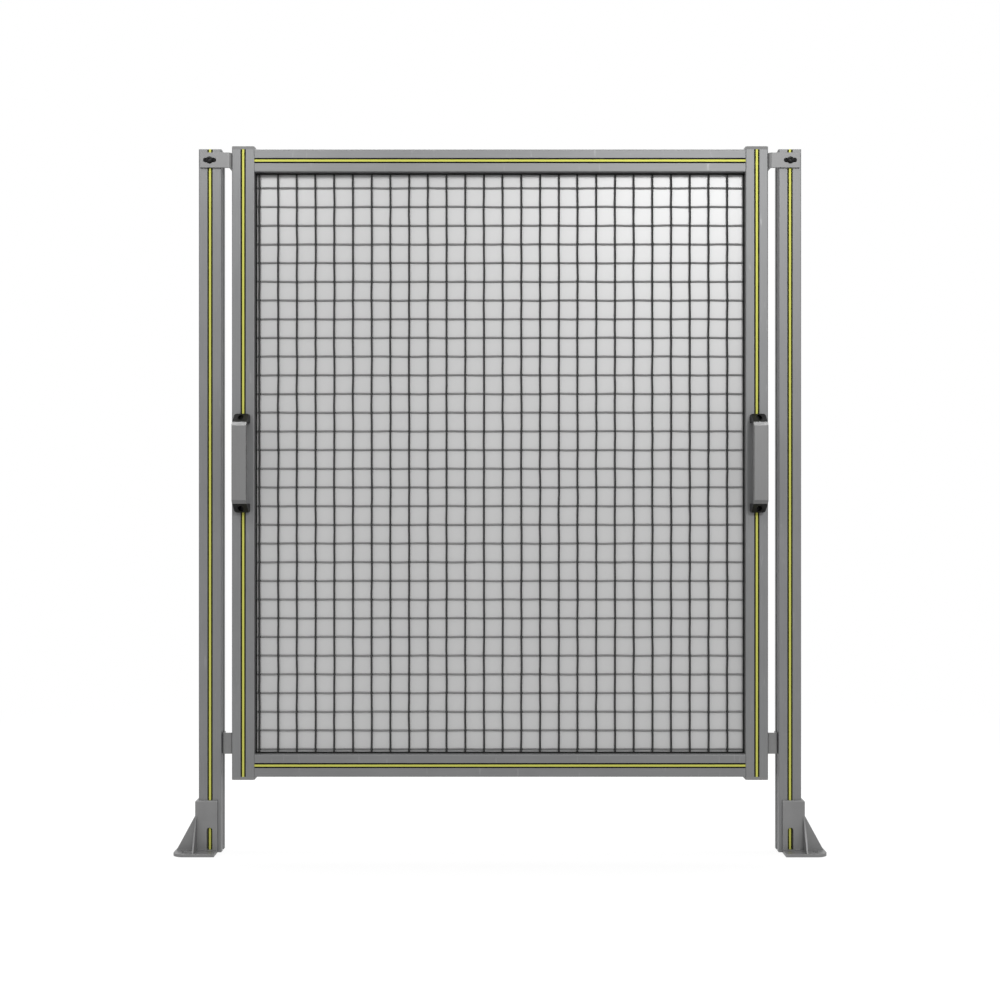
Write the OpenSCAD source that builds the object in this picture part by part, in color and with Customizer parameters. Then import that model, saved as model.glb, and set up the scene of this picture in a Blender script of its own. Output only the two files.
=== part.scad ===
// Machine guard fence panel: a framed mesh panel that hangs between two T-slot posts.
// Millimetres, Z up, +Y towards the back. The origin lies on the underside of the left
// foot bracket, below the corner where its two flanges and two gussets meet.

/* [Fence] */
// Width over the two posts
fence_w = 1200; // [800:10:1600]
// Height of the posts
post_h = 1400; // [1200:10:2200]
// Clear gap between a post and the panel
panel_gap = 21; // [16:1:40]
// Height of the panel's lower edge above the floor
ground_gap = 150; // [110:5:300]

/* [Profile] */
// Side of the square T-slot profile
profile_w = 45; // [44:1:60]
// Radius of the profile's long corners
profile_corner_r = 2; // [1:0.5:4]
// Width of a T-slot's mouth
slot_w = 10; // [9.8:0.1:12]
// Depth of a T-slot from the face
slot_d = 14.5; // [14:0.5:15]
// Thickness of the lips beside the mouth
lip_t = 4.5; // [3:0.5:6]
// Bevel on the edges of the mouth
lip_bevel = 0.5; // [0.2:0.1:1]
// Width of a T-slot's chamber behind the lips
chamber_w = 20; // [17:0.5:21]
// Thickness of the diagonal webs
web_t = 3; // [2:0.5:4]
// Thickness of the walls round the corner hollows
corner_wall = 2.2; // [1.5:0.1:3]
// Diameter of the core bore
core_bore_d = 10; // [6:0.5:12]

/* [Cover strips] */
// Width of a strip's raised crown
crown_w = 4.2; // [3.6:0.1:8]
// Depth of the crown below the profile's face
crown_depth = 0.3; // [0.2:0.1:1]
// Depth of the shoulders beside the crown
shoulder_depth = 2; // [1.5:0.1:3]
// Thickness of a strip's wall
strip_wall = 1.2; // [0.8:0.1:2]
// Reach of a strip's barbs behind the lips
barb_reach = 1.2; // [0.6:0.1:2]
// Height of a strip's barbs
barb_h = 2; // [1:0.5:4]
// Clearance of a strip in its slot
strip_clear = 0.15; // [0.1:0.05:0.3]

/* [Infill] */
// Distance between neighbouring wires
mesh_pitch = 37.5; // [25:0.5:60]
// Thickness of a wire
wire_d = 3.8; // [2.5:0.1:3.8]
// Distance from the left stile to the first upright wire
first_upright = 7; // [4:0.5:20]
// Distance from the bottom rail to the lowest cross wire
first_cross = 7; // [4:0.5:20]
// Thickness of the backing sheet
sheet_t = 2; // [1:0.1:2]
// Depth that the infill reaches into the slots
infill_reach = 10; // [6:0.5:13]

/* [End caps] */
// Thickness of a stile's end cap
cap_t = 6; // [3:0.5:8]
// Bevel round an end cap
cap_bevel = 2; // [0.5:0.5:3]

/* [Foot brackets] */
// Wall of a foot bracket
foot_t = 6; // [4:0.5:10]
// Reach of the base plate beyond the flanges
foot_reach = 39; // [34:1:70]
// Width of a flange
flange_w = 44; // [40:1:50]
// Height of the flanges
flange_h = 104; // [80:1:180]
// Bevel on the top of the flanges
flange_bevel = 2; // [0.5:0.5:3]
// Thickness of the gussets
gusset_t = 3.5; // [2.5:0.5:6]
// Height of the gussets
gusset_h = 74; // [50:1:80]
// Step from a gusset's toe to the plate's edge
gusset_step = 2; // [1:0.5:10]
// Radius of the plate's outer corner
foot_corner_r = 22; // [5:1:26]
// Width of a flange's open slot
foot_slot_w = 11; // [8:0.5:13]
// Height of a flange's open slot above the floor
foot_slot_h = 50; // [30:1:70]
// Width of the notch in the plate below a slot
foot_notch_w = 15; // [12:0.5:18]
// Reach of that notch in front of a flange
foot_notch_d = 9.5; // [5:0.5:12]
// Diameter of the anchor hole
anchor_d = 11; // [9:0.5:14]
// Step from the plate's outer edges to the anchor hole
anchor_inset = 22; // [14:1:30]

/* [Panel brackets] */
// Thickness of a top bracket
top_bracket_t = 5; // [3:0.5:8]
// Height of a top bracket
top_bracket_h = 30; // [20:1:45]
// Step from the post's top to a top bracket
top_bracket_drop = 7.5; // [2:0.5:40]
// Step from the post's outer side to a top bracket
top_bracket_inset = 3.5; // [0:0.5:8]
// Depth of a top bracket's leg beside the stile
top_leg_d = 40; // [32:1:44]
// Inner radius of a top bracket's bend
top_bend_r = 2.5; // [0.5:0.5:3]
// Length of a top bracket's slotted hole
top_slot_l = 26; // [14:1:26]
// Diameter of the screws' clearance holes
screw_hole_d = 9; // [8.5:0.1:10]
// Thickness of a hook bracket's sheet
hook_t = 3; // [2:0.5:4]
// Height of a hook bracket
hook_h = 42; // [34:1:80]
// Depth of a hook bracket
hook_d = 25; // [20:1:30]
// Height of a hook bracket's lower edge above the panel's lower edge
hook_rise = 44.5; // [20:0.5:100]
// Diameter of a hanging pin
pin_d = 8; // [6:0.5:8.5]
// Play of a pin in its slot
pin_play = 1; // [0.5:0.1:2]

/* [Handles] */
// Overall height of a handle
handle_h = 196; // [160:1:300]
// Height of a handle's middle above the floor
handle_mid = 774.5; // [500:0.5:1000]
// Stand-off of a handle's front from the panel
handle_reach = 55; // [46:1:80]
// Height of a handle's foot
handle_foot_h = 17.5; // [16:0.5:32]
// Width of a handle's foot
handle_foot_w = 28; // [24:1:34]
// Depth of a foot at its outer end
foot_end_d = 16; // [10:0.5:30]
// Width of the grip
grip_w = 28.5; // [24:0.5:34]
// Depth of the grip
grip_d = 17; // [15:0.5:22]
// Bevel at the ends of the grip
grip_bevel = 7.5; // [1:0.5:8]
// Radius of the grip's long edges
grip_edge_r = 2; // [1:0.5:4]
// Diameter of the spigot from a foot into the grip
spigot_d = 6; // [4:0.5:7]
// Length of a spigot
spigot_l = 12; // [8:1:20]
// Space left beyond a spigot's end
spigot_end = 1; // [0.5:0.5:3]
// Clearance round a spigot
spigot_clear = 0.2; // [0.1:0.05:0.4]
// Step from a handle's end to its screw
screw_step = 8; // [7.5:0.5:9]
// Diameter of a handle screw's recess
recess_d = 11; // [10:0.5:14]
// Floor left under a handle screw's head
recess_floor = 8; // [5:0.5:12]
// Diameter of a handle screw's hole
handle_hole_d = 6.6; // [6:0.1:7.5]

/* [Hidden] */
$fn = 48;
wire_sides = 8;
// Overshoot of a cut beyond the face that it opens, and of a spigot into its foot
cut = 1;

half_p = profile_w / 2;
mid_x = fence_w / 2 + foot_t / 2;
front_y = foot_t / 2;
slot_y = front_y + half_p;

panel_w = fence_w - 2 * profile_w - 2 * panel_gap;
panel_h = post_h - ground_gap;
panel_left = profile_w + panel_gap + foot_t / 2;
opening_w = panel_w - 2 * profile_w;
opening_h = panel_h - 2 * profile_w;
opening_left = panel_left + profile_w;
opening_low = ground_gap + profile_w;

post_x = foot_t / 2 + half_p;
stile_x = panel_left + half_p;

top_rail_z = post_h - half_p;
bottom_rail_z = ground_gap + half_p;
infill_front = slot_y - wire_d - sheet_t / 2;

spigot_y = (grip_d + grip_bevel) / 2 - handle_reach;

slot_floor = half_p - slot_d;
web_step = web_t / sqrt(2);

aluminium_grey = [0.55, 0.56, 0.57];
cap_grey = [0.45, 0.46, 0.47];
strip_yellow = [0.86, 0.86, 0.42];
wire_grey = [0.3, 0.3, 0.31];
sheet_grey = [0.8, 0.8, 0.8];
grip_grey = [0.5, 0.5, 0.5];
handle_black = [0.1, 0.1, 0.1];

// Draws the left side's piece as it is, or its mirror image for the right side.
module on_side(left) {
    if (left) children();
    else translate([2 * mid_x, 0, 0]) mirror([1, 0, 0]) children();
}

// Turns a section so that its extrusion runs along +X, with its +Y side at the back.
module along_x() {
    rotate([0, 90, 0]) children();
}

// Stands an outline drawn as (y, z) upright and extrudes it along +X.
module side_outline(width) {
    rotate([90, 0, 90]) linear_extrude(width) children();
}

module rounded_square(w, d, r) {
    square([w - 2 * r, d], center = true);
    square([w, d - 2 * r], center = true);
    for (x = [-1, 1], y = [-1, 1])
        translate([x * (w / 2 - r), y * (d / 2 - r)]) circle(r);
}

// One T-slot's opening in the profile's section, in the +Y face.
module slot_section() {
    right = [[slot_w / 2 + lip_bevel, half_p + cut], [slot_w / 2 + lip_bevel, half_p],
        [slot_w / 2, half_p - lip_bevel], [slot_w / 2, half_p - lip_t],
        [chamber_w / 2, half_p - lip_t], [chamber_w / 2, chamber_w / 2 + web_step],
        [slot_floor - web_step, slot_floor]];
    left = [for (i = [len(right) - 1:-1:0]) [-right[i][0], right[i][1]]];
    polygon(concat(right, left));
}

module profile_section() {
    hollow_in = chamber_w / 2 + corner_wall;
    hollow_w = half_p - corner_wall - hollow_in;
    difference() {
        rounded_square(profile_w, profile_w, profile_corner_r);
        for (turn = [0:90:270]) rotate(turn) {
            slot_section();
            translate([hollow_in, hollow_in]) square(hollow_w);
        }
        circle(d = core_bore_d);
    }
}

module profile(length) {
    color(aluminium_grey) linear_extrude(length) profile_section();
}

// Section of a snap-in cover strip, in the +Y face of the profile.
module strip_section() {
    body_w = slot_w - 2 * strip_clear;
    foot_y = half_p - lip_t - strip_clear - barb_h;
    difference() {
        union() {
            translate([-crown_w / 2, foot_y]) square([crown_w, half_p - crown_depth - foot_y]);
            translate([-body_w / 2, foot_y]) square([body_w, half_p - shoulder_depth - foot_y]);
            translate([-body_w / 2 - barb_reach, foot_y]) square([body_w + 2 * barb_reach, barb_h]);
        }
        translate([strip_wall - body_w / 2, foot_y - cut])
            square([body_w - 2 * strip_wall, half_p - shoulder_depth - strip_wall - foot_y + cut]);
    }
}

// A front strip and a back strip.
module strip_pair(length) {
    color(strip_yellow) linear_extrude(length) {
        strip_section();
        rotate(180) strip_section();
    }
}

module post(left) {
    on_side(left) translate([post_x, slot_y, 0]) profile(post_h);
}

module stile(left) {
    on_side(left) translate([stile_x, slot_y, ground_gap]) profile(panel_h);
}

module rail(rail_z) {
    translate([opening_left, slot_y, rail_z]) along_x() profile(opening_w);
}

module post_strips(left) {
    on_side(left) translate([post_x, slot_y, 0]) strip_pair(post_h);
}

module stile_strips(left) {
    on_side(left) translate([stile_x, slot_y, ground_gap]) strip_pair(panel_h);
}

module rail_strips(rail_z) {
    translate([opening_left, slot_y, rail_z]) along_x() strip_pair(opening_w);
}

// Square cap with a bevel round its outer face.
module cap_body() {
    edge = half_p - cap_bevel;
    color(cap_grey) intersection() {
        linear_extrude(cap_t) rounded_square(profile_w, profile_w, profile_corner_r);
        for (turn = [0, 90]) rotate(turn) translate([-half_p, 0, 0]) side_outline(profile_w)
            polygon([[-half_p, 0], [half_p, 0], [half_p, cap_t - cap_bevel],
                [edge, cap_t], [-edge, cap_t], [-half_p, cap_t - cap_bevel]]);
    }
}

module stile_top_cap(left) {
    on_side(left) translate([stile_x, slot_y, post_h]) cap_body();
}

module stile_bottom_cap(left) {
    on_side(left) translate([stile_x, slot_y, ground_gap]) mirror([0, 0, 1]) cap_body();
}

// Plan of the base plate: a square round the post's outer corner, with the post and a
// notch in front of each flange cut out.
module foot_plan() {
    low = -foot_t / 2 - foot_reach;
    side = foot_reach + flange_w;
    difference() {
        union() {
            translate([low + foot_corner_r, low]) square([side - foot_corner_r, side]);
            translate([low, low + foot_corner_r]) square([side, side - foot_corner_r]);
            translate([low + foot_corner_r, low + foot_corner_r]) circle(foot_corner_r);
        }
        translate([foot_t / 2, foot_t / 2]) square(flange_w);
        for (turn = [0, 1]) mirror([turn, -turn])
            translate([post_x - foot_notch_w / 2, -foot_t / 2 - foot_notch_d])
            square([foot_notch_w, foot_notch_d]);
    }
}

// One flange on the post's front, with its open slot.
module foot_flange() {
    slot_r = foot_slot_w / 2;
    difference() {
        translate([-foot_t / 2, -foot_t / 2, 0]) cube([flange_w, foot_t, flange_h]);
        translate([post_x, 0, foot_t]) {
            translate([-slot_r, -foot_t / 2 - cut, 0])
                cube([foot_slot_w, foot_t + 2 * cut, foot_slot_h - foot_t - slot_r]);
            translate([0, foot_t / 2 + cut, foot_slot_h - foot_t - slot_r])
                rotate([90, 0, 0]) cylinder(r = slot_r, h = foot_t + 2 * cut);
        }
    }
}

// Space below the bevel on the front flange's top edge.
module flange_bevel_space() {
    outer = -foot_t / 2;
    translate([outer, 0, 0]) side_outline(flange_w)
        polygon([[outer, 0], [flange_w, 0], [flange_w, flange_h], [outer + flange_bevel, flange_h],
            [outer, flange_h - flange_bevel]]);
}

// Gusset that carries the front flange outwards, flush with its outer face.
module foot_gusset() {
    toe = foot_t / 2 + foot_reach - gusset_step;
    translate([0, gusset_t - foot_t / 2, 0]) rotate([90, 0, 0]) linear_extrude(gusset_t)
        polygon([[0, foot_t / 2], [-toe, foot_t / 2], [-toe, foot_t], [-foot_t / 2, gusset_h],
            [0, gusset_h]]);
}

module foot_bracket(left) {
    hole = foot_t / 2 + foot_reach - anchor_inset;
    on_side(left) color(aluminium_grey) {
        difference() {
            linear_extrude(foot_t) foot_plan();
            translate([-hole, -hole, -cut]) cylinder(d = anchor_d, h = foot_t + 2 * cut);
        }
        intersection() {
            for (turn = [0, 1]) mirror([turn, -turn, 0]) foot_flange();
            flange_bevel_space();
            mirror([1, -1, 0]) flange_bevel_space();
        }
        for (turn = [0, 1]) mirror([turn, -turn, 0]) foot_gusset();
    }
}

// Plan of the angle: a plate on the post's front, a bend and a leg beside the stile.
module top_bracket_plan() {
    plate_start = foot_t / 2 + top_bracket_inset;
    outer_r = top_bend_r + top_bracket_t;
    bend_x = panel_left - outer_r;
    bend_y = front_y + top_bend_r;
    translate([plate_start, front_y - top_bracket_t]) square([bend_x - plate_start, top_bracket_t]);
    translate([panel_left - top_bracket_t, bend_y])
        square([top_bracket_t, front_y + top_leg_d - bend_y]);
    translate([bend_x, bend_y]) difference() {
        intersection() {
            circle(outer_r);
            translate([0, -outer_r]) square(outer_r);
        }
        circle(top_bend_r);
    }
}

module top_bracket(left) {
    low = post_h - top_bracket_drop - top_bracket_h;
    half_run = (top_slot_l - screw_hole_d) / 2;
    on_side(left) color(aluminium_grey) translate([0, 0, low]) difference() {
        linear_extrude(top_bracket_h) top_bracket_plan();
        translate([post_x, front_y + cut, top_bracket_h / 2]) rotate([90, 0, 0]) {
            for (x = [-half_run, half_run])
                translate([x, 0, 0]) cylinder(d = screw_hole_d, h = top_bracket_t + 2 * cut);
            translate([-half_run, -screw_hole_d / 2, 0])
                cube([2 * half_run, screw_hole_d, top_bracket_t + 2 * cut]);
        }
        translate([panel_left - top_bracket_t - cut, slot_y, top_bracket_h / 2])
            rotate([0, 90, 0]) cylinder(d = screw_hole_d, h = top_bracket_t + 2 * cut);
    }
}

// Channel between post and stile: one leg is screwed to the post, and the hanging pin of
// the stile drops into the open slot of the other.
module hook_bracket(left) {
    post_side = foot_t / 2 + profile_w;
    pin_slot_w = pin_d + pin_play;
    on_side(left) color(aluminium_grey)
        translate([post_side, slot_y - hook_d / 2, ground_gap + hook_rise]) difference() {
            cube([panel_gap, hook_d, hook_h]);
            translate([hook_t, hook_t, -cut])
                cube([panel_gap - 2 * hook_t, hook_d, hook_h + 2 * cut]);
            translate([-cut, hook_d / 2, hook_h / 2])
                rotate([0, 90, 0]) cylinder(d = screw_hole_d, h = hook_t + 2 * cut);
            translate([panel_gap - hook_t - cut, hook_d / 2, hook_h / 2]) {
                rotate([0, 90, 0]) cylinder(d = pin_slot_w, h = hook_t + 2 * cut);
                translate([0, -pin_slot_w / 2, 0]) cube([hook_t + 2 * cut, pin_slot_w, hook_h]);
            }
        }
}

// Places a handle's piece in front of the stile, at the handle's middle.
module at_handle(left) {
    on_side(left) translate([stile_x, front_y, handle_mid]) children();
}

// Straight grip: bevelled ends in front, and a blind hole for a spigot in each end.
module handle_grip(left) {
    half_l = handle_h / 2 - handle_foot_h;
    hole_l = spigot_l + spigot_end;
    at_handle(left) color(grip_grey) difference() {
        intersection() {
            translate([0, grip_d / 2 - handle_reach, -half_l]) linear_extrude(2 * half_l)
                rounded_square(grip_w, grip_d, grip_edge_r);
            translate([-grip_w / 2, -handle_reach, 0]) side_outline(grip_w)
                polygon([[grip_d, -half_l], [grip_d, half_l], [grip_bevel, half_l],
                    [0, half_l - grip_bevel], [0, grip_bevel - half_l], [grip_bevel, -half_l]]);
        }
        for (end = [-half_l - cut, half_l - hole_l]) translate([0, spigot_y, end])
            cylinder(d = spigot_d + 2 * spigot_clear, h = hole_l + cut);
    }
}

// Foot of a handle: its outer face slopes from the grip's bevel down to the panel, with a
// deep screw recess in it and a spigot below that goes into the grip.
module handle_foot_body() {
    screw_z = handle_foot_h - screw_step;
    difference() {
        translate([-handle_foot_w / 2, 0, 0]) side_outline(handle_foot_w)
            polygon([[0, 0], [0, handle_foot_h], [-foot_end_d, handle_foot_h],
                [grip_bevel - handle_reach, 0]]);
        translate([0, -recess_floor, screw_z]) rotate([90, 0, 0])
            cylinder(d = recess_d, h = handle_reach);
        translate([0, cut, screw_z]) rotate([90, 0, 0])
            cylinder(d = handle_hole_d, h = recess_floor + 2 * cut);
    }
    translate([0, spigot_y, -spigot_l]) cylinder(d = spigot_d, h = spigot_l + cut);
}

module handle_foot(left, upper) {
    at_handle(left) mirror([0, 0, upper ? 0 : 1])
        translate([0, 0, handle_h / 2 - handle_foot_h]) color(handle_black) handle_foot_body();
}

// Wire along +Z with a few flat sides, one of them towards the front and one to the back.
module wire(length) {
    half_side = 180 / wire_sides;
    color(wire_grey) rotate(half_side)
        cylinder(d = wire_d / cos(half_side), h = length, $fn = wire_sides);
}

module upright_wires() {
    count = floor((opening_w - first_upright) / mesh_pitch) + 1;
    for (i = [0:count - 1])
        translate([opening_left + first_upright + i * mesh_pitch, infill_front + wire_d / 2,
            opening_low - infill_reach]) wire(opening_h + 2 * infill_reach);
}

module cross_wires() {
    count = floor((opening_h - first_cross) / mesh_pitch) + 1;
    for (i = [0:count - 1])
        translate([opening_left - infill_reach, infill_front + wire_d * 3 / 2,
            opening_low + first_cross + i * mesh_pitch]) along_x() wire(opening_w + 2 * infill_reach);
}

module backing_sheet() {
    color(sheet_grey)
        translate([opening_left - infill_reach, infill_front + 2 * wire_d, opening_low - infill_reach])
        cube([opening_w + 2 * infill_reach, sheet_t, opening_h + 2 * infill_reach]);
}

post(true);  // left_post
post(false);  // right_post
stile(true);  // left_stile
stile(false);  // right_stile
rail(top_rail_z);  // top_rail
rail(bottom_rail_z);  // bottom_rail
post_strips(true);  // left_post_strips
post_strips(false);  // right_post_strips
stile_strips(true);  // left_stile_strips
stile_strips(false);  // right_stile_strips
rail_strips(top_rail_z);  // top_rail_strips
rail_strips(bottom_rail_z);  // bottom_rail_strips
stile_top_cap(true);  // left_stile_top_cap
stile_bottom_cap(true);  // left_stile_bottom_cap
stile_top_cap(false);  // right_stile_top_cap
stile_bottom_cap(false);  // right_stile_bottom_cap
foot_bracket(true);  // left_foot_bracket
foot_bracket(false);  // right_foot_bracket
top_bracket(true);  // left_top_bracket
top_bracket(false);  // right_top_bracket
hook_bracket(true);  // left_hook_bracket
hook_bracket(false);  // right_hook_bracket
handle_grip(true);  // left_handle_grip
handle_foot(true, true);  // left_handle_upper_foot
handle_foot(true, false);  // left_handle_lower_foot
handle_grip(false);  // right_handle_grip
handle_foot(false, true);  // right_handle_upper_foot
handle_foot(false, false);  // right_handle_lower_foot
upright_wires();
cross_wires();
backing_sheet();
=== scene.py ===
import math

import bmesh
import bpy
from mathutils import Matrix, Vector


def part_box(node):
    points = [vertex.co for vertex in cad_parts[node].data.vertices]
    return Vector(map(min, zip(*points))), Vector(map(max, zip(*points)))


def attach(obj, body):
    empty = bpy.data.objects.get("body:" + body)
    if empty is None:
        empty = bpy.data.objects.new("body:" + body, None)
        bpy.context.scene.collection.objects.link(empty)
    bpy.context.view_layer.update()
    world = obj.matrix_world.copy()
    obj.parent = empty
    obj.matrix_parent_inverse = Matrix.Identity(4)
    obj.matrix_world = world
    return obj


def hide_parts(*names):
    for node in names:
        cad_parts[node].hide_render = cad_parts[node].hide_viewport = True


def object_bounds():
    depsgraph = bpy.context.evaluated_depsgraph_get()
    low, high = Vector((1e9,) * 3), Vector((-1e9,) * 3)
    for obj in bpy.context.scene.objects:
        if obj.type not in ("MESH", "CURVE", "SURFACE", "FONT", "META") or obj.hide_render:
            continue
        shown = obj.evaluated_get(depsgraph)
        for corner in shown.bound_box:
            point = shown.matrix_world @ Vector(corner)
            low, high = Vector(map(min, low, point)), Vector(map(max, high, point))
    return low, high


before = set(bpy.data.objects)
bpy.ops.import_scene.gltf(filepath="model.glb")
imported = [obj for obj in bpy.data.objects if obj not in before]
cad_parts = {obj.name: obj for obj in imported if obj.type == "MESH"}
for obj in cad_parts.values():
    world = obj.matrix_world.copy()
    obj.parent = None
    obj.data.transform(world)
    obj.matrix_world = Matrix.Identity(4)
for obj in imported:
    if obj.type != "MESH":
        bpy.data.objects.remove(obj)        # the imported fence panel: one rigid body, named root
cad_bounds = [list(corner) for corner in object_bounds()]


# ---- Posts, stiles and rails ----
# Square T-slot bars, extruded in aluminium, sawn to length and anodised to a satin grey.
# The posts stand on the feet; stiles and rails are screwed together as the panel's frame.

MM = 0.001
PROFILE_SIDE = 45 * MM
ALUMINIUM_TINT = (0.99, 1.0, 1.01)
SAWN_FACING = 0.9                # share of a face's normal that lies along the bar
UPRIGHT_PROFILES = ["left_post", "right_post", "left_stile", "right_stile"]
LEVEL_PROFILES = ["top_rail", "bottom_rail"]


class Link:
    """A node's output, which takes part in sums: values go through Math nodes."""

    def __init__(self, tree, socket):
        self.tree = tree
        self.socket = socket

    def combined(self, operation, first, second=0.0):
        return self.tree.node("ShaderNodeMath", {"operation": operation}, {0: first, 1: second})

    def __add__(self, other):
        return self.combined("ADD", self, other)

    __radd__ = __add__

    def __sub__(self, other):
        return self.combined("SUBTRACT", self, other)

    def __rsub__(self, other):
        return self.combined("SUBTRACT", other, self)

    def __mul__(self, other):
        return self.combined("MULTIPLY", self, other)

    __rmul__ = __mul__

    def __gt__(self, other):
        return self.combined("GREATER_THAN", self, other)

    def __lt__(self, other):
        return self.combined("LESS_THAN", self, other)

    def __abs__(self):
        return self.combined("ABSOLUTE", self)

    def smooth(self, low, high):
        """0 below low, 1 above high, with a soft step between."""
        return self.tree.node(
            "ShaderNodeMapRange", {"interpolation_type": "SMOOTHSTEP"},
            {"Value": self, "From Min": low, "From Max": high})


class Nodes:
    """A node tree, filled by one method that makes a node, sets it and joins it."""

    def __init__(self, tree):
        self.tree = tree

    def node(self, kind, settings=None, sockets=None, out=0):
        made = self.tree.nodes.new(kind)
        for key, value in (settings or {}).items():
            setattr(made, key, value)
        for key, value in (sockets or {}).items():
            self.join(made.inputs[key], value)
        return Link(self, made.outputs[out])

    def join(self, socket, value):
        if isinstance(value, Link):
            self.tree.links.new(value.socket, socket)
        else:
            socket.default_value = value


class Paint(Nodes):
    """A material on the Principled shader, patterned on Object coordinates."""

    def __init__(self, name, **shader):
        self.material = bpy.data.materials.new(name)
        self.material.use_nodes = True
        super().__init__(self.material.node_tree)
        self.shader = self.tree.nodes["Principled BSDF"]
        self.place = self.node("ShaderNodeTexCoord", out="Object")
        self.set(**shader)

    def set(self, **shader):
        for key, value in shader.items():
            self.join(self.shader.inputs[key.replace("_", " ")], value)

    def along(self, axis):
        """The place along one axis, in metres."""
        return self.node("ShaderNodeSeparateXYZ", sockets={0: self.place}, out="XYZ".index(axis))

    def noise(self, scale, detail=3.0, stretch=(1.0, 1.0, 1.0)):
        """Noise whose grain is stretched by a factor along each axis."""
        place = self.node(
            "ShaderNodeVectorMath", {"operation": "DIVIDE"}, {0: self.place, 1: stretch})
        return self.node(
            "ShaderNodeTexNoise", None, {"Vector": place, "Scale": scale, "Detail": detail}, "Fac")

    def mix(self, share, first, second):
        """Two colours mixed by share."""
        made = self.tree.nodes.new("ShaderNodeMix")
        made.data_type = "RGBA"
        for index, value in ((0, share), (6, first), (7, second)):
            self.join(made.inputs[index], value)
        return Link(self, made.outputs[2])

    def bump(self, height, depth, strength=1.0):
        normal = self.node(
            "ShaderNodeBump", None, {"Strength": strength, "Distance": depth, "Height": height})
        self.set(Normal=normal)


def grey(value, tint=(1.0, 1.0, 1.0)):
    return (value * tint[0], value * tint[1], value * tint[2], 1.0)


def paint_node(paint, slot, *nodes):
    """Gives CAD nodes a material."""
    for name in nodes:
        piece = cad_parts[name]
        piece.data.materials.clear()
        piece.data.materials.append(paint.material)


def drawn_aluminium(name, axis):
    """Anodised extrusion: die lines along one axis, a few scuffs, and saw marks on the ends."""
    paint = Paint(name, Metallic=0.26, Specular_Tint=grey(0.45))
    long_way = tuple(60.0 if a == axis else 1.0 for a in "XYZ")
    die_lines = paint.noise(900.0, 4.0, long_way)
    cloud = paint.noise(9.0, 3.0)
    scuffs = paint.noise(160.0, 5.0, (1.0, 1.0, 7.0)).smooth(0.66, 0.72)
    normal = paint.node("ShaderNodeNewGeometry", out="Normal")
    facing = paint.node("ShaderNodeSeparateXYZ", None, {0: normal}, "XYZ".index(axis))
    sawn = abs(facing) > SAWN_FACING
    across = tuple(1.0 if a == "Y" else 40.0 for a in "XYZ")
    saw_marks = paint.noise(1500.0, 2.0, across)
    dull, bright = grey(0.176, ALUMINIUM_TINT), grey(0.190, ALUMINIUM_TINT)
    tone = paint.mix(cloud.smooth(0.3, 0.7), dull, bright)
    tone = paint.mix(die_lines.smooth(0.35, 0.7) * 0.2, tone, grey(0.235))
    tone = paint.mix(scuffs * 0.3, tone, grey(0.28))
    tone = paint.mix(sawn * 0.8, tone, grey(0.26))
    paint.set(Base_Color=tone, Roughness=0.36 + 0.06 * cloud + 0.10 * sawn - 0.05 * scuffs)
    paint.bump(die_lines * (1.0 - sawn) + saw_marks * sawn, 0.02 * MM, 0.6)
    return paint


paint_node(drawn_aluminium("anodised_upright", "Z"), "profile", *UPRIGHT_PROFILES)
paint_node(drawn_aluminium("anodised_level", "X"), "profile", *LEVEL_PROFILES)


# ---- Cover strips ----
# Co-extruded plastic strips, pressed into the front and back slots until they snap in.
# The crown is yellow; the lips that grip the slot's mouth, deeper in the slot, are painted near-black as
# painted shade in the groove.

CROWN_DEPTH = 1.4 * MM           # what lies deeper than this in the slot is painted near-black: painted shade


def strip_plastic():
    low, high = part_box("left_post")
    middle = (low.y + high.y) / 2
    paint = Paint("strip_plastic", Specular_IOR_Level=0.0)
    depth = PROFILE_SIDE / 2 - abs(paint.along("Y") - middle)
    crown = depth < CROWN_DEPTH
    grain = paint.noise(700.0, 3.0)
    cloud = paint.noise(14.0, 3.0)
    yellow = paint.mix(cloud, (0.465, 0.465, 0.099, 1.0), (0.495, 0.495, 0.109, 1.0))
    # Painted shade: the strip is near-black deeper than CROWN_DEPTH, standing in for the shadow in the
    # slot's groove.
    tone = paint.mix(crown, grey(0.008), yellow)
    paint.set(Base_Color=tone, Metallic=crown * 0.15, Roughness=0.33 + 0.07 * grain)
    paint.bump(grain, 0.03 * MM, 0.4)
    return paint


STRIPS = [f"{name}_strips" for name in UPRIGHT_PROFILES + LEVEL_PROFILES]
paint_node(strip_plastic(), "cover_strip", *STRIPS)


# ---- Foot, top and hook brackets ----
# Die-cast aluminium feet and pressed aluminium angles and channels, tumbled and left plain.
# The feet are bolted to the floor; the angles and channels carry the panel on the posts.

FOOT_EDGE = 0.9 * MM
ANGLE_EDGE = 0.6 * MM
CHANNEL_BEND = 3.5 * MM
SHARP = math.radians(40)         # edges sharper than this are rounded, or stay creased


def finished(name, mesh, paint, stands_for=()):
    """Links a finished mesh as a piece of the object, in place on the root body."""
    piece = bpy.data.objects.new(name, mesh)
    bpy.context.scene.collection.objects.link(piece)
    if paint:
        mesh.materials.clear()
        mesh.materials.append(paint.material)
    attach(piece, "root")
    if stands_for:
        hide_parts(*stands_for)
    return piece


def applied(piece):
    """The mesh of an object with its modifiers applied; the object itself is removed."""
    bpy.context.view_layer.update()
    evaluated = piece.evaluated_get(bpy.context.evaluated_depsgraph_get())
    mesh = bpy.data.meshes.new_from_object(evaluated)
    bpy.data.objects.remove(piece)
    return mesh


def near(axis, level):
    """A test for places that lie on a plane across an axis."""
    return lambda place: abs(place["XYZ".index(axis)] - level) < 0.1 * MM


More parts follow.
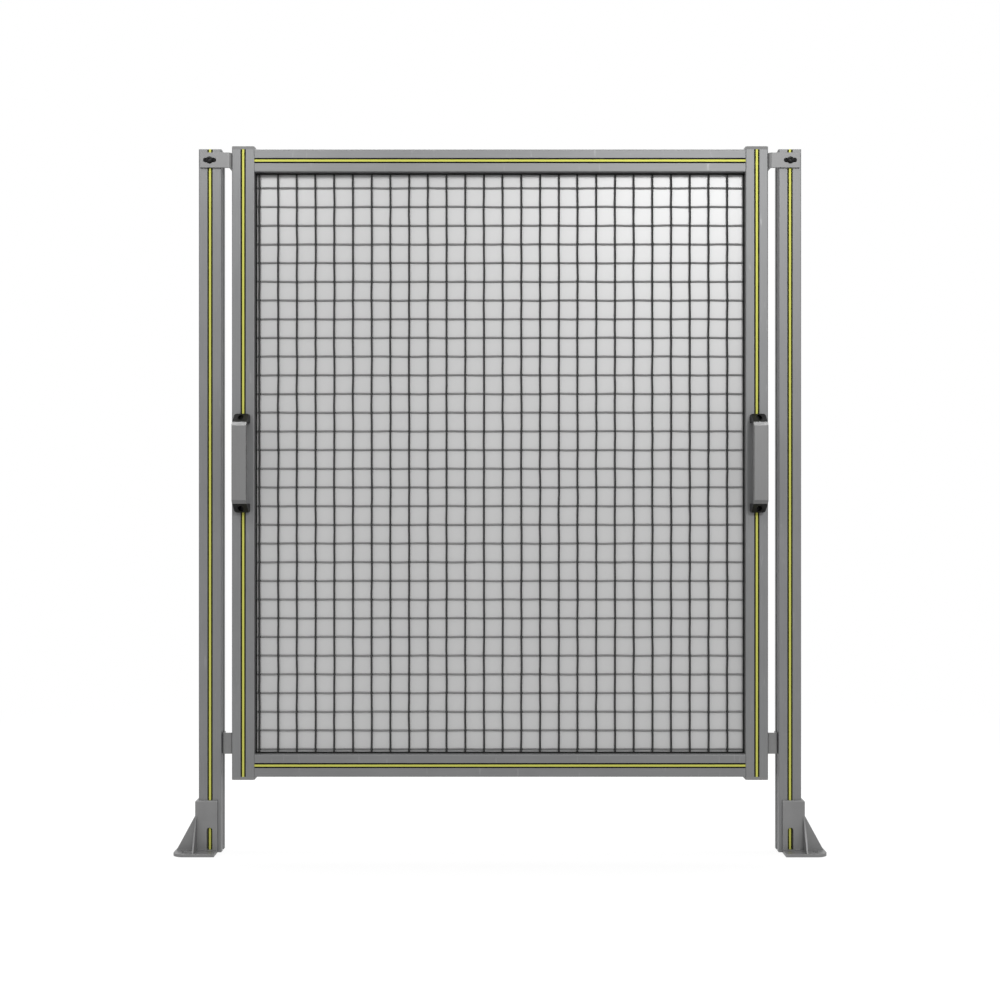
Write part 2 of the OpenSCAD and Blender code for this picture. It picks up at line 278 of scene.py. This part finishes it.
def eased(node, radius, paint, bend_axis=None, bend_radius=0.0, is_bend=None):
    """Replaces a CAD node by a copy with its bends formed and its sharp edges rounded."""
    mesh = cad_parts[node].data.copy()
    shape = bmesh.new()
    shape.from_mesh(mesh)
    bmesh.ops.remove_doubles(shape, verts=shape.verts, dist=1e-6)
    bmesh.ops.dissolve_limit(shape, angle_limit=math.radians(0.5), verts=shape.verts, edges=shape.edges)
    if is_bend:
        bends = []
        for edge in shape.edges:
            first, second = (corner.co for corner in edge.verts)
            lies_along = abs((second - first).normalized()["XYZ".index(bend_axis)]) > 0.999
            if lies_along and is_bend((first + second) / 2):
                bends.append(edge)
        bmesh.ops.bevel(
            shape, geom=bends, offset=bend_radius, segments=5, profile=0.5, affect="EDGES",
            clamp_overlap=True)
    shape.to_mesh(mesh)
    shape.free()
    mesh.shade_smooth()
    rough = bpy.data.objects.new("rough", mesh)
    bpy.context.scene.collection.objects.link(rough)
    bevel = rough.modifiers.new("bevel", "BEVEL")
    bevel.width = radius
    bevel.segments = 2
    bevel.limit_method = "ANGLE"
    bevel.angle_limit = SHARP
    bevel.use_clamp_overlap = True
    weighted = rough.modifiers.new("weighted", "WEIGHTED_NORMAL")
    weighted.keep_sharp = True
    return finished(f"{node}_finished", applied(rough), paint, [node])


def cast_aluminium():
    paint = Paint("cast_aluminium", Metallic=0.30, Specular_Tint=grey(0.5))
    pores = paint.noise(1400.0, 2.0)
    cloud = paint.noise(22.0, 4.0)
    tone = paint.mix(cloud.smooth(0.25, 0.75), grey(0.184), grey(0.208))
    paint.set(Base_Color=tone, Roughness=0.37 + 0.10 * cloud)
    paint.bump(pores, 0.05 * MM, 0.5)
    return paint


cast = cast_aluminium()
for side in ("left", "right"):
    eased(f"{side}_foot_bracket", FOOT_EDGE, cast)
    eased(f"{side}_top_bracket", ANGLE_EDGE, cast)
    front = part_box(f"{side}_hook_bracket")[0].y
    eased(f"{side}_hook_bracket", ANGLE_EDGE, cast,
          "Z", CHANNEL_BEND, near("Y", front))


# ---- End caps ----
# Injection-moulded grey caps, pushed into the ends of the stiles.
# They close the sawn ends above and below the panel.

CAP_EDGE = 0.5 * MM


def moulded(name, tone, rough, gloss):
    """Moulded plastic with a fine spark-eroded grain."""
    paint = Paint(name, Specular_IOR_Level=gloss)
    grain = paint.noise(1100.0, 2.0)
    cloud = paint.noise(30.0, 2.0)
    shade = paint.mix(cloud, grey(tone * 0.92), grey(tone * 1.08))
    paint.set(Base_Color=shade, Roughness=rough + 0.1 * grain)
    paint.bump(grain, 0.06 * MM, 0.6)
    return paint


cap_plastic = moulded("cap_plastic", 0.18, 0.45, 0.45)
for side in ("left", "right"):
    for end in ("top", "bottom"):
        eased(f"{side}_stile_{end}_cap", CAP_EDGE, cap_plastic)


# ---- Wire mesh ----
# Drawn wires welded where they cross, the uprights in front of the cross wires; the cross wires' lighter
# tone is painted light.
# The mesh is cut to size and held by its edges in the inner slots of the frame.

WIRE = 3.8 * MM
PITCH = 37.5 * MM
SWAY = 0.7 * MM
UPRIGHTS = 26
CROSSES = 31
UPRIGHT_STEPS = 128              # points along a wire, about four to a pitch
CROSS_STEPS = 108
NUGGET = (2.7 * MM, 2.7 * MM, 1.7 * MM)


class Grower(Nodes):
    """A Geometry Nodes tree with named inputs for its sizes."""

    KINDS = {float: "NodeSocketFloat", int: "NodeSocketInt", "material": "NodeSocketMaterial",
             "object": "NodeSocketObject", "vector": "NodeSocketVector"}

    def __init__(self, name, **inputs):
        tree = bpy.data.node_groups.new(name, "GeometryNodeTree")
        super().__init__(tree)
        tree.interface.new_socket("Geometry", in_out="INPUT", socket_type="NodeSocketGeometry")
        self.sockets = {}
        for key, kind in inputs.items():
            label = key.replace("_", " ")
            self.sockets[key] = tree.interface.new_socket(
                label, in_out="INPUT", socket_type=self.KINDS[kind])
        tree.interface.new_socket("Geometry", in_out="OUTPUT", socket_type="NodeSocketGeometry")
        self.entry = tree.nodes.new("NodeGroupInput")
        self.exit = tree.nodes.new("NodeGroupOutput")

    def __getitem__(self, key):
        return Link(self, self.entry.outputs[key.replace("_", " ")])

    def end(self, shape):
        """Realize the instances, set the material and hand the shape out."""
        real = self.node("GeometryNodeRealizeInstances", None, {0: shape})
        painted = self.node("GeometryNodeSetMaterial", None, {0: real, "Material": self["Material"]})
        self.join(self.exit.inputs[0], painted)

    def grow(self, mesh=None, **values):
        """Runs the tree on a mesh and returns the plain mesh that it makes."""
        seed = bpy.data.objects.new("seed", mesh or bpy.data.meshes.new("seed"))
        bpy.context.scene.collection.objects.link(seed)
        modifier = seed.modifiers.new("grow", "NODES")
        modifier.node_group = self.tree
        for key, value in values.items():
            modifier[self.sockets[key].identifier] = value
        return applied(seed)


def wire_layer():
    """A row of upright wires along +X, each with the slight sway that drawing leaves."""
    tree = Grower("wire_layer", Count=int, Pitch=float, Length=float, Radius=float, Sway=float,
                  Seed=float, Steps=int, Material="material")
    step = tree.node("ShaderNodeCombineXYZ", None, {"X": tree["Pitch"]})
    row = tree.node("GeometryNodeMeshLine", {"mode": "OFFSET"}, {"Count": tree["Count"], "Offset": step})
    top = tree.node("ShaderNodeCombineXYZ", None, {"Z": tree["Length"]})
    wire = tree.node("GeometryNodeCurvePrimitiveLine", None, {"Start": (0, 0, 0), "End": top})
    wire = tree.node("GeometryNodeResampleCurve", None, {"Curve": wire, "Count": tree["Steps"]})
    wires = tree.node("GeometryNodeInstanceOnPoints", None, {"Points": row, "Instance": wire})
    wires = tree.node("GeometryNodeRealizeInstances", None, {0: wires})
    place = tree.node("GeometryNodeInputPosition")
    swing = tree.node(
        "ShaderNodeTexNoise", {"noise_dimensions": "4D"},
        {"Vector": place, "W": tree["Seed"], "Scale": 16.0, "Detail": 1.0}, "Color")
    swing = tree.node("ShaderNodeVectorMath", {"operation": "SUBTRACT"}, {0: swing, 1: (0.5, 0.5, 0.5)})
    swing = tree.node("ShaderNodeVectorMath", {"operation": "MULTIPLY"}, {0: swing, 1: (4.0, 0.0, 0.0)})
    swing = tree.node("ShaderNodeVectorMath", {"operation": "SCALE"}, {0: swing, "Scale": tree["Sway"]})
    wires = tree.node("GeometryNodeSetPosition", None, {"Geometry": wires, "Offset": swing})
    ring = tree.node("GeometryNodeCurvePrimitiveCircle", None, {"Resolution": 8, "Radius": tree["Radius"]})
    shape = tree.node(
        "GeometryNodeCurveToMesh", None, {"Curve": wires, "Profile Curve": ring, "Fill Caps": True})
    shape = tree.node("GeometryNodeSetShadeSmooth", None, {"Geometry": shape})
    tree.end(shape)
    return tree


def weld_grid():
    """A nugget of weld at every crossing, on a level grid in X and Y."""
    tree = Grower("weld_grid", Columns=int, Rows=int, Width=float, Depth=float, Nugget="vector",
                  Material="material")
    grid = tree.node("GeometryNodeMeshGrid", None, {
        "Size X": tree["Width"], "Size Y": tree["Depth"],
        "Vertices X": tree["Columns"], "Vertices Y": tree["Rows"]})
    drop = tree.node("GeometryNodeMeshUVSphere", None, {"Segments": 8, "Rings": 4, "Radius": 1.0})
    drop = tree.node("GeometryNodeSetShadeSmooth", None, {"Geometry": drop})
    drops = tree.node(
        "GeometryNodeInstanceOnPoints", None, {"Points": grid, "Instance": drop, "Scale": tree["Nugget"]})
    tree.end(drops)
    return tree


def coated_wire(name, tone):
    paint = Paint(name, Specular_IOR_Level=0.2)
    cloud = paint.noise(40.0, 3.0)
    peel = paint.noise(900.0, 2.0)
    paint.set(Base_Color=paint.mix(cloud, grey(tone * 0.8), grey(tone * 1.2)), Roughness=0.40 + 0.12 * cloud)
    paint.bump(peel, 0.04 * MM, 0.5)
    return paint


wires = wire_layer()
# Both wires have the same dark coat; the cross wires' lighter tone is a painted highlight, standing in for
# the light they catch from above.
upright_coat = coated_wire("upright_coat", 0.030)
cross_coat = coated_wire("cross_coat", 0.20)
upright_low, upright_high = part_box("upright_wires")
cross_low, cross_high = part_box("cross_wires")
upright = wires.grow(
    Count=UPRIGHTS, Pitch=PITCH, Length=upright_high.z - upright_low.z, Radius=WIRE / 2, Sway=SWAY,
    Seed=3.0, Steps=UPRIGHT_STEPS, Material=upright_coat.material)
upright.transform(Matrix.Translation(
    (upright_low.x + WIRE / 2, (upright_low.y + upright_high.y) / 2, upright_low.z)))
finished("upright_wire_mesh", upright, None, ["upright_wires"])

cross = wires.grow(
    Count=CROSSES, Pitch=PITCH, Length=cross_high.x - cross_low.x, Radius=WIRE / 2, Sway=SWAY,
    Seed=8.0, Steps=CROSS_STEPS, Material=cross_coat.material)
level = Matrix(((0, 0, 1, 0), (0, 1, 0, 0), (1, 0, 0, 0), (0, 0, 0, 1)))
cross.transform(Matrix.Translation(
    (cross_low.x, (cross_low.y + cross_high.y) / 2, cross_low.z + WIRE / 2)) @ level)
cross.flip_normals()
finished("cross_wire_mesh", cross, None, ["cross_wires"])

nuggets = weld_grid().grow(
    Columns=UPRIGHTS, Rows=CROSSES, Width=(UPRIGHTS - 1) * PITCH, Depth=(CROSSES - 1) * PITCH,
    Nugget=NUGGET, Material=upright_coat.material)
nuggets.transform(
    Matrix.Translation(((upright_low.x + upright_high.x) / 2, upright_high.y,
                        (cross_low.z + cross_high.z) / 2)) @ Matrix.Rotation(math.radians(90), 4, "X"))
finished("weld_nuggets", nuggets, None)


# ---- Backing sheet ----
# A thin sheet of light grey plastic behind the mesh, held in the same slots.
# Its satin face takes a soft sheen from the light.

def satin_sheet():
    paint = Paint("satin_sheet", Specular_IOR_Level=1.0, Coat_Weight=0.45, Coat_Roughness=0.34)
    cloud = paint.noise(3.0, 2.0)
    grain = paint.noise(900.0, 2.0)
    paint.set(Base_Color=paint.mix(cloud, grey(0.432), grey(0.448)), Roughness=0.31 + 0.04 * grain)
    paint.bump(grain, 0.02 * MM, 0.3)
    return paint


paint_node(satin_sheet(), "sheet", "backing_sheet")


# ---- Infill seal ----
# Soft black rubber lips, pulled into the frame's inner slots in front of the mesh and
# behind the sheet, with mitred corners. They hold the infill tight and keep it quiet.
# Their black is partly painted shade: it stands in for the shadow along the opening's edge.

SEAL_RISE = 2.8 * MM
SEAL_FOOT = 3.0 * MM


def seal_lip(shape, opening, against, outwards):
    """One lip round the opening: it lies against a plane in Y and rounds off away from it."""
    left, right, bottom, top = opening
    section = [(0.0, 0.0), (0.92, 0.0), (1.0, 0.25), (1.0, 0.55), (0.84, 0.84), (0.5, 1.0), (0.0, 1.0)]
    rings = []
    for rise, reach in section:
        inset, y = rise * SEAL_RISE, against + outwards * reach * SEAL_FOOT
        corners = ((left + inset, bottom + inset), (right - inset, bottom + inset),
                   (right - inset, top - inset), (left + inset, top - inset))
        rings.append([shape.verts.new((x, y, z)) for x, z in corners])
    for ring, after in zip(rings, rings[1:] + rings[:1]):
        for corner in range(4):
            following = (corner + 1) % 4
            shape.faces.new((ring[corner], ring[following], after[following], after[corner]))


def seal_mesh():
    opening = (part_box("left_stile")[1].x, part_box("right_stile")[0].x,
               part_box("bottom_rail")[1].z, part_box("top_rail")[0].z)
    shape = bmesh.new()
    seal_lip(shape, opening, upright_low.y, -1)
    seal_lip(shape, opening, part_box("backing_sheet")[1].y, 1)
    bmesh.ops.recalc_face_normals(shape, faces=shape.faces)
    mesh = bpy.data.meshes.new("infill_seal")
    shape.to_mesh(mesh)
    shape.free()
    return mesh


def rubber():
    paint = Paint("rubber", Specular_IOR_Level=0.12)
    bloom = paint.noise(60.0, 3.0)
    grain = paint.noise(1300.0, 2.0)
    paint.set(Base_Color=paint.mix(bloom, grey(0.007), grey(0.014)), Roughness=0.62 + 0.15 * grain)
    paint.bump(grain, 0.05 * MM, 0.5)
    return paint


finished("infill_seal", seal_mesh(), rubber())


# ---- Handles ----
# A solid aluminium grip between two moulded feet, one handle on each stile.
# A spigot joins each foot to the grip, and the feet's outer corners are well rounded.

FOOT_CORNER = 4 * MM
GRIP_EDGE = 0.4 * MM
MOULDED_EDGE = 0.7 * MM


def brushed_grip():
    paint = Paint("brushed_grip", Metallic=0.40, Specular_Tint=grey(0.6))
    lines = paint.noise(1300.0, 4.0, (1.0, 1.0, 50.0))
    paint.set(Base_Color=paint.mix(lines, grey(0.17), grey(0.20)), Roughness=0.27 + 0.08 * lines)
    paint.bump(lines, 0.02 * MM, 0.5)
    return paint


grip = brushed_grip()
foot_plastic = moulded("foot_plastic", 0.010, 0.38, 0.2)
for side in ("left", "right"):
    eased(f"{side}_handle_grip", GRIP_EDGE, grip)
    for end, outer in (("upper", 1), ("lower", 0)):
        node = f"{side}_handle_{end}_foot"
        eased(node, MOULDED_EDGE, foot_plastic,
              "Y", FOOT_CORNER, near("Z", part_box(node)[outer].z))


# ---- Screws and hanging pins ----
# Blackened steel screws with hexagon sockets, turned into nuts in the profiles' slots.
# They hold the top and hook brackets and the handles; a pin in each stile hangs in its hook.

# Outlines as radius and height in millimetres, from the shank's end to the head's top.
M8_HEAD = [(4.0, -9.0), (4.0, 0.0), (7.0, 0.0), (7.0, 0.9), (6.7, 2.0), (5.9, 3.1), (4.7, 4.0), (4.0, 4.4)]
M6_HEAD = [(3.0, -9.0), (3.0, 0.0), (5.0, 0.0), (5.0, 5.3), (4.8, 5.8), (4.3, 6.0)]
SOCKET_HALF = 2.5
ANGLE_WALL = 5 * MM
CHANNEL_WALL = 3 * MM
PIN_PLAY = 0.3 * MM              # from the head of a hanging pin to its channel
HANDLE_SCREW_FLOOR = 8 * MM      # plastic left between the panel and the head
HANDLE_SCREW_STEP = 8 * MM       # from the end of the handle


def screw_mesh(name, outline, socket_depth):
    """A screw along +Z, its head's underside at zero: round rings, then a hexagon socket."""
    shape = bmesh.new()
    sides = 24
    head_top = outline[-1][1]
    rings = [(radius, height, False) for radius, height in outline]
    rings += [(SOCKET_HALF * 1.12, head_top, True), (SOCKET_HALF, head_top - 0.4, True),
              (SOCKET_HALF, head_top - socket_depth, True)]
    before = None
    for radius, height, is_hexagon in rings:
        ring = []
        for index in range(sides):
            angle = math.tau * index / sides
            out = radius
            if is_hexagon:
                out = radius / math.cos((angle + math.pi / 6) % (math.pi / 3) - math.pi / 6)
            place = (out * math.cos(angle) * MM, out * math.sin(angle) * MM, height * MM)
            ring.append(shape.verts.new(place))
        if before is None:
            shape.faces.new(ring)
        else:
            for index in range(sides):
                following = (index + 1) % sides
                shape.faces.new((before[index], before[following], ring[following], ring[index]))
        before = ring
    shape.faces.new(before)
    bmesh.ops.recalc_face_normals(shape, faces=shape.faces)
    for face in shape.faces:
        face.smooth = True
    for edge in shape.edges:
        edge.smooth = edge.calc_face_angle(0.0) < SHARP
    mesh = bpy.data.meshes.new(name)
    shape.to_mesh(mesh)
    shape.free()
    return mesh


def screw_row():
    """Copies of a screw on the points of a mesh, all turned alike."""
    tree = Grower("screw_row", Screw="object", Turn="vector", Material="material")
    screw = tree.node("GeometryNodeObjectInfo", None, {"Object": tree["Screw"]}, "Geometry")
    points = tree.node("GeometryNodeMeshToPoints", None, {"Mesh": Link(tree, tree.entry.outputs[0])})
    turn = tree.node("FunctionNodeEulerToRotation", None, {"Euler": tree["Turn"]})
    tree.end(tree.node(
        "GeometryNodeInstanceOnPoints", None, {"Points": points, "Instance": screw, "Rotation": turn}))
    return tree


def blackened_steel():
    paint = Paint("blackened_steel", Metallic=0.6, Specular_Tint=grey(0.5))
    cloud = paint.noise(120.0, 3.0)
    grain = paint.noise(2200.0, 2.0)
    rubbed = paint.noise(420.0, 4.0).smooth(0.58, 0.72)
    paint.set(Base_Color=paint.mix(rubbed * 0.35, grey(0.010), grey(0.06)), Roughness=0.34 + 0.14 * cloud)
    paint.bump(grain, 0.01 * MM, 0.5)
    return paint


black_steel = blackened_steel()
screws = screw_row()


def drive_screws(name, screw, turn, places):
    """Sets one kind of screw at places, with its axis turned from +Z by Euler angles."""
    points = bpy.data.meshes.new("places")
    points.from_pydata(places, [], [])
    model = bpy.data.objects.new("screw", screw)
    mesh = screws.grow(points, Screw=model, Turn=turn, Material=black_steel.material)
    bpy.data.objects.remove(model)
    finished(name, mesh, None)


QUARTER = math.pi / 2
m8 = screw_mesh("button_head", M8_HEAD, 2.6)
m6 = screw_mesh("cap_head", M6_HEAD, 3.2)
top = {side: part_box(f"{side}_top_bracket") for side in ("left", "right")}
hook = {side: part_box(f"{side}_hook_bracket") for side in ("left", "right")}
post = {side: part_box(f"{side}_post") for side in ("left", "right")}
slot_y = (post["left"][0].y + post["left"][1].y) / 2
top_z = (top["left"][0].z + top["left"][1].z) / 2
hook_z = (hook["left"][0].z + hook["left"][1].z) / 2
post_middle = {side: (low.x + high.x) / 2 for side, (low, high) in post.items()}
drive_screws("bracket_front_screws", m8, (QUARTER, 0, 0),
             [(post_middle[side], top["left"][0].y, top_z) for side in ("left", "right")])
drive_screws("left_side_screws", m8, (0, -QUARTER, 0), [
    (top["left"][1].x - ANGLE_WALL, slot_y, top_z),
    (hook["left"][1].x - CHANNEL_WALL - PIN_PLAY, slot_y, hook_z),
    (hook["right"][1].x - CHANNEL_WALL, slot_y, hook_z)])
drive_screws("right_side_screws", m8, (0, QUARTER, 0), [
    (top["right"][0].x + ANGLE_WALL, slot_y, top_z),
    (hook["right"][0].x + CHANNEL_WALL + PIN_PLAY, slot_y, hook_z),
    (hook["left"][0].x + CHANNEL_WALL, slot_y, hook_z)])
handle_places = []
for side in ("left", "right"):
    for end, outer, inwards in (("upper", 1, -1), ("lower", 0, 1)):
        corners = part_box(f"{side}_handle_{end}_foot")
        handle_places.append(((corners[0].x + corners[1].x) / 2, corners[1].y - HANDLE_SCREW_FLOOR,
                              corners[outer].z + inwards * HANDLE_SCREW_STEP))
drive_screws("handle_screws", m6, (QUARTER, 0, 0), handle_places)


# ---- Slot inserts ----
# A black nylon insert fills the slotted hole of each top bracket round its screw.
# It is moulded with round ends and lies just below the bracket's face.
# Its black is painted shade: it stands in for the shadow inside the slotted hole.

INSERT_HALF_RUN = 8.4 * MM
INSERT_RADIUS = 4.4 * MM
INSERT_BEVEL = 0.4 * MM
INSERT_DEPTH = 0.5 * MM          # below the bracket's face
INSERT_PLAY = 0.05 * MM          # off the post


def insert_mesh():
    """Two stadium-shaped slabs in XZ, with a small bevel round their front edge."""
    shape = bmesh.new()
    sides = 24
    front, back = top["left"][0].y + INSERT_DEPTH, post["left"][0].y - INSERT_PLAY
    for side in ("left", "right"):
        middle = post_middle[side]
        rings = []
        for inset, y in ((0.0, back), (0.0, front + INSERT_BEVEL), (INSERT_BEVEL, front)):
            ring = []
            radius = INSERT_RADIUS - inset
            for index in range(sides):
                angle = math.tau * (index + 0.5) / sides
                run = math.copysign(INSERT_HALF_RUN, math.cos(angle))
                ring.append(shape.verts.new(
                    (middle + run + radius * math.cos(angle), y, top_z + radius * math.sin(angle))))
            rings.append(ring)
        shape.faces.new(rings[0])
        shape.faces.new(rings[-1])
        for ring, after in zip(rings, rings[1:]):
            for index in range(sides):
                following = (index + 1) % sides
                shape.faces.new((ring[index], ring[following], after[following], after[index]))
    bmesh.ops.recalc_face_normals(shape, faces=shape.faces)
    mesh = bpy.data.meshes.new("slot_inserts")
    shape.to_mesh(mesh)
    shape.free()
    return mesh


finished("slot_inserts", insert_mesh(), moulded("insert_nylon", 0.008, 0.5, 0.1))


# ---- Studio ----
# White floor and backdrop, two lamps in front on the upper right and left, and weaker ones
# overhead, behind and at the sides. Near the object the floor takes a soft shadow.

FLOOR_HALF = 30.0
SHADOW_NEAR, SHADOW_FAR = 0.9, 2.6
SHADOW_SHARE = 0.18
FLOOR_BOUNCE = 0.40
SKY = 0.80
CAMERA_DISTANCE = 3.156
CAMERA_HEIGHT = 0.7015
LENS = 57.06


def lit_by_rays(tree):
    """The Light Path outputs of a node tree."""
    rays = tree.tree.nodes.new("ShaderNodeLightPath").outputs
    kinds = ("Camera", "Glossy", "Transmission")
    camera, glossy, through = (Link(tree, rays[f"Is {kind} Ray"]) for kind in kinds)
    return camera, glossy + through


def floor_paint(middle):
    paint = Paint("floor_paint", Roughness=0.9, Specular_IOR_Level=0.0)
    offset = paint.node(
        "ShaderNodeVectorMath", {"operation": "SUBTRACT"}, {0: paint.place, 1: (middle.x, middle.y, 0)})
    away = paint.node("ShaderNodeVectorMath", {"operation": "LENGTH"}, {0: offset}, "Value")
    camera, mirrored = lit_by_rays(paint)
    paint.set(Base_Color=paint.mix(camera, grey(FLOOR_BOUNCE), grey(0.9)))
    fade = away.smooth(SHADOW_NEAR, SHADOW_FAR)
    white = camera * (1.0 - SHADOW_SHARE + SHADOW_SHARE * fade) + mirrored
    shine = paint.node("ShaderNodeEmission", None, {"Color": grey(1.0), "Strength": 1.0})
    diffuse = Link(paint, paint.shader.outputs[0])
    blend = paint.node("ShaderNodeMixShader", None, {0: white, 1: diffuse, 2: shine})
    paint.join(paint.tree.nodes["Material Output"].inputs["Surface"], blend)
    return paint


def studio():
    scene = bpy.context.scene
    scene.view_settings.view_transform = "Standard"
    low, high = Vector(cad_bounds[0]), Vector(cad_bounds[1])
    middle = (low + high) / 2
    floor = bpy.data.meshes.new("floor")
    corners = [(x * FLOOR_HALF, y * FLOOR_HALF, 0) for x, y in ((-1, -1), (1, -1), (1, 1), (-1, 1))]
    floor.from_pydata(corners, [], [(0, 1, 2, 3)])
    piece = bpy.data.objects.new("floor", floor)
    scene.collection.objects.link(piece)
    floor.materials.append(floor_paint(middle).material)

    world = bpy.data.worlds.new("studio")
    scene.world = world
    world.use_nodes = True
    sky = Nodes(world.node_tree)
    camera, mirrored = lit_by_rays(sky)
    background = world.node_tree.nodes["Background"]
    sky.join(background.inputs["Color"], grey(1.0))
    sky.join(background.inputs["Strength"], SKY + (1.0 - SKY) * (camera + mirrored))

    def lamp(name, place, target, size, watts, mirrored=True):
        light = bpy.data.lights.new(name, "AREA")
        light.shape = "RECTANGLE"
        light.size, light.size_y = size
        light.energy = watts
        piece = bpy.data.objects.new(name, light)
        piece.visible_glossy = mirrored
        piece.location = place
        piece.rotation_euler = (Vector(target) - Vector(place)).to_track_quat("-Z", "Y").to_euler()
        scene.collection.objects.link(piece)

    lamp("right_key", (1.90, -6.34, 3.11), (0.95, 0.0, 1.2), (1.2, 1.2), 146.0)
    lamp("left_key", (-0.20, -1.56, 1.96), (0.1, 0.0, 1.5), (0.3, 0.3), 6.5)
    lamp("overhead", (0.6, 0.45, 4.0), middle, (3.2, 0.9), 95.0)
    lamp("behind", (0.3, 4.6, 5.2), middle, (1.6, 1.2), 140.0, False)
    lamp("left_side", (-5.0, 0.6, 2.4), middle, (2.0, 2.0), 40.0)
    lamp("right_side", (6.2, 0.6, 2.4), middle, (2.0, 2.0), 40.0)

    camera = bpy.data.cameras.new("camera")
    camera.sensor_width = 36.0
    camera.lens = LENS
    camera.clip_end = 100.0
    piece = bpy.data.objects.new("camera", camera)
    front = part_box("left_post")[0].y
    piece.location = (middle.x, front - CAMERA_DISTANCE, CAMERA_HEIGHT)
    piece.rotation_euler = (math.radians(90), 0, 0)
    scene.collection.objects.link(piece)
    scene.camera = piece


studio()
